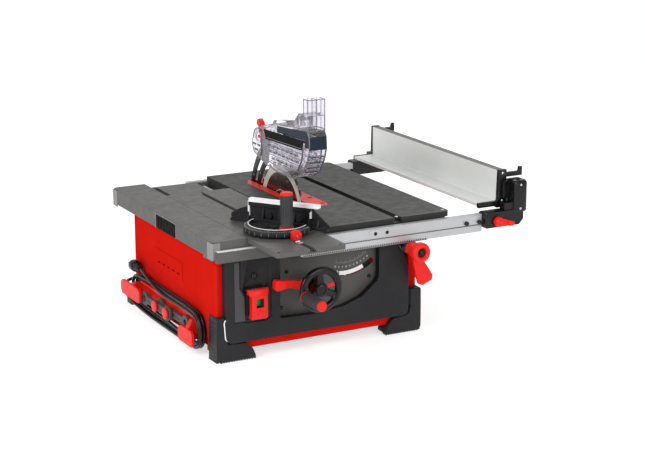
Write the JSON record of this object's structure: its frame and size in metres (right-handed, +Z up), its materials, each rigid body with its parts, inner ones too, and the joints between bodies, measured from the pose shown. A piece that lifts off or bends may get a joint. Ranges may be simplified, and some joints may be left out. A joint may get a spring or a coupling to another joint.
{
  "type": "portable table saw",
  "caption": "Portable table saw with sliding left carriage, mitre gauge, clear blade guard, rack-driven fence rails, bevel handwheel and hanging cord store.",
  "frame": {"origin": "on the bench, at the centre of the four bench bolt holes in the feet", "axes": "+X to the operator's right along the fence rails, +Y away from the operator along the cut, +Z up"},
  "size_m": [0.894, 0.854, 0.587],
  "materials": {
    "table_enamel": "satin textured",
    "casting_enamel": "satin",
    "red_enamel": "satin",
    "red_plastic": "semi-gloss",
    "charcoal_plastic": "fine grain",
    "black_plastic": "fine grain",
    "anodised_aluminium": "brushed anodised",
    "bright_steel": "brushed",
    "dark_plate": "fine texture",
    "structural_steel": "zinc plated",
    "clear_plastic": "clear gloss",
    "green_plastic": "semi-gloss",
    "cord_rubber": "matte"
  },
  "bodies": {
    "saw": {"base_frame": "red_enamel", "front_feet": "charcoal_plastic", "rear_feet": "charcoal_plastic", "corner_posts": "red_enamel", "left_side_panel": "red_enamel", "right_side_panel": "red_enamel", "rear_panel": "red_enamel", "dust_port": "black_plastic", "front_panel": "charcoal_plastic", "bevel_plate": "dark_plate", "main_table": "table_enamel", "table_insert": "red_plastic", "left_extension": "casting_enamel", "carriage_bed": "casting_enamel", "guide_rods": "bright_steel", "trunnions": "structural_steel", "rail_guides": "anodised_aluminium", "pinion_bearings": "black_plastic", "switch_housing": "black_plastic", "cord_holder": "red_plastic", "blade_spanners": "dark_plate", "cord_gland": "black_plastic", "cord_tube": "cord_rubber", "cord_coil": "cord_rubber", "cord_plug": "black_plastic"},
    "rails": {"front_rail": "anodised_aluminium", "rear_rail": "anodised_aluminium", "fence_heads": "black_plastic", "fence_profile": "anodised_aluminium", "fence_ledge": "anodised_aluminium"},
    "front_clamp": {"front_fence_lever": "red_plastic"},
    "rear_clamp": {"rear_fence_lever": "red_plastic"},
    "pinion": {"pinion_shaft": "structural_steel", "pinion_knob": "red_plastic"},
    "rail_lock": {"rail_lock_lever": "red_plastic"},
    "carriage": {"carriage_plate": "casting_enamel"},
    "mitre_slider": {"mitre_bar": "bright_steel"},
    "mitre_protractor": {"mitre_head": "black_plastic", "mitre_fence": "black_plastic", "mitre_rail": "anodised_aluminium"},
    "mitre_clamp": {"mitre_knob": "black_plastic"},
    "mitre_stop": {"mitre_latch": "red_plastic"},
    "tilt": {"tilt_frame": "structural_steel", "guide_posts": "bright_steel"},
    "lift": {"lift_carriage": "structural_steel", "motor_housing": "black_plastic", "drive_belt": "cord_rubber", "riving_knife": "structural_steel"},
    "elevating_screw": {"lead_screw": "bright_steel"},
    "rotor": {"motor_rotor": "structural_steel"},
    "spindle": {"arbor": "bright_steel", "blade": "bright_steel", "blade_flanges": "structural_steel"},
    "guard": {"guard_shell": "clear_plastic"},
    "guard_clamp": {"guard_lever": "red_plastic"},
    "wheel": {"handwheel": "black_plastic"},
    "wheel_grip": {"crank_grip": "black_plastic"},
    "bevel_clamp": {"bevel_lever": "red_plastic"},
    "switch_cover": {"switch_flap": "red_plastic"},
    "switch_button": {"on_button": "green_plastic"}
  },
  "joints": [
    {"name": "rail_slide", "type": "slide", "parent": "saw", "child": "rails", "axis": [1, 0, 0], "range_m": [0, 0.2]},
    {"name": "pinion_spin", "type": "hinge", "parent": "saw", "child": "pinion", "pos_m": [0.235, -0.36, 0.2295], "axis": [0, 1, 0], "continuous": true},
    {"name": "rail_lock_turn", "type": "hinge", "parent": "saw", "child": "rail_lock", "pos_m": [0.235, -0.35, 0.2295], "axis": [0, 1, 0], "range_deg": [-25, 25]},
    {"name": "front_clamp_turn", "type": "hinge", "parent": "rails", "child": "front_clamp", "pos_m": [0.484, -0.37, 0.271], "axis": [0, -1, 0], "range_deg": [0, 90]},
    {"name": "rear_clamp_turn", "type": "hinge", "parent": "rails", "child": "rear_clamp", "pos_m": [0.484, 0.37, 0.271], "axis": [0, -1, 0], "range_deg": [0, 90]},
    {"name": "carriage_slide", "type": "slide", "parent": "saw", "child": "carriage", "axis": [0, -1, 0], "range_m": [-0.25, 0.1]},
    {"name": "mitre_slide", "type": "slide", "parent": "carriage", "child": "mitre_slider", "axis": [0, -1, 0], "range_m": [-0.3, 0.05]},
    {"name": "mitre_turn", "type": "hinge", "parent": "mitre_slider", "child": "mitre_protractor", "pos_m": [-0.111, -0.297, 0.315], "axis": [0, 0, 1], "range_deg": [-6.7, 113.3]},
    {"name": "mitre_clamp_turn", "type": "hinge", "parent": "mitre_slider", "child": "mitre_clamp", "pos_m": [-0.111, -0.345, 0.355], "axis": [0, 0, 1], "continuous": true},
    {"name": "mitre_stop_pull", "type": "slide", "parent": "mitre_slider", "child": "mitre_stop", "axis": [0, -1, 0], "range_m": [0, 0.004], "stiffness_N_per_m": 400, "springref_m": -0.001},
    {"name": "bevel_tilt", "type": "hinge", "parent": "saw", "child": "tilt", "pos_m": [0.073, 0, 0.305], "axis": [0, -1, 0], "range_deg": [0, 45]},
    {"name": "blade_lift", "type": "slide", "parent": "tilt", "child": "lift", "axis": [0, 0, 1], "range_m": [-0.06, 0]},
    {"name": "elevating_screw_spin", "type": "hinge", "parent": "tilt", "child": "elevating_screw", "pos_m": [0.04, -0.1, 0.205], "axis": [0, 0, 1], "continuous": true},
    {"name": "motor_spin", "type": "hinge", "parent": "lift", "child": "rotor", "pos_m": [-0.05, -0.043, 0.183], "axis": [1, 0, 0], "continuous": true},
    {"name": "blade_spin", "type": "hinge", "parent": "lift", "child": "spindle", "pos_m": [0.073, 0.042, 0.263], "axis": [1, 0, 0], "continuous": true},
    {"name": "guard_swing", "type": "hinge", "parent": "lift", "child": "guard", "pos_m": [0.073, 0.122, 0.447], "axis": [1, 0, 0], "range_deg": [-60, 12]},
    {"name": "guard_clamp_turn", "type": "hinge", "parent": "guard", "child": "guard_clamp", "pos_m": [0.073, 0.122, 0.447], "axis": [1, 0, 0], "range_deg": [0, 60]},
    {"name": "handwheel_spin", "type": "hinge", "parent": "saw", "child": "wheel", "pos_m": [-0.036, -0.36, 0.169], "axis": [0, -1, 0], "continuous": true},
    {"name": "wheel_grip_spin", "type": "hinge", "parent": "wheel", "child": "wheel_grip", "pos_m": [-0.08371, -0.43, 0.15973], "axis": [0, -1, 0], "continuous": true},
    {"name": "bevel_clamp_turn", "type": "hinge", "parent": "saw", "child": "bevel_clamp", "pos_m": [-0.036, -0.336, 0.169], "axis": [0, -1, 0], "range_deg": [-25, 25]},
    {"name": "switch_cover_lift", "type": "hinge", "parent": "saw", "child": "switch_cover", "pos_m": [-0.18, -0.329, 0.176], "axis": [-1, 0, 0], "range_deg": [0, 90]},
    {"name": "switch_button_press", "type": "slide", "parent": "saw", "child": "switch_button", "axis": [0, 1, 0], "range_m": [0, 0.003], "stiffness_N_per_m": 600, "springref_m": -0.001}
  ],
  "couplings": [
    {"joint": "pinion_spin", "follows": "rail_slide", "rad_per_m": 66.667},
    {"joint": "elevating_screw_spin", "follows": "blade_lift", "rad_per_m": 1256.6},
    {"joint": "handwheel_spin", "follows": "blade_lift", "rad_per_m": 1256.6},
    {"joint": "motor_spin", "follows": "blade_spin", "ratio": 1.6667}
  ]
}
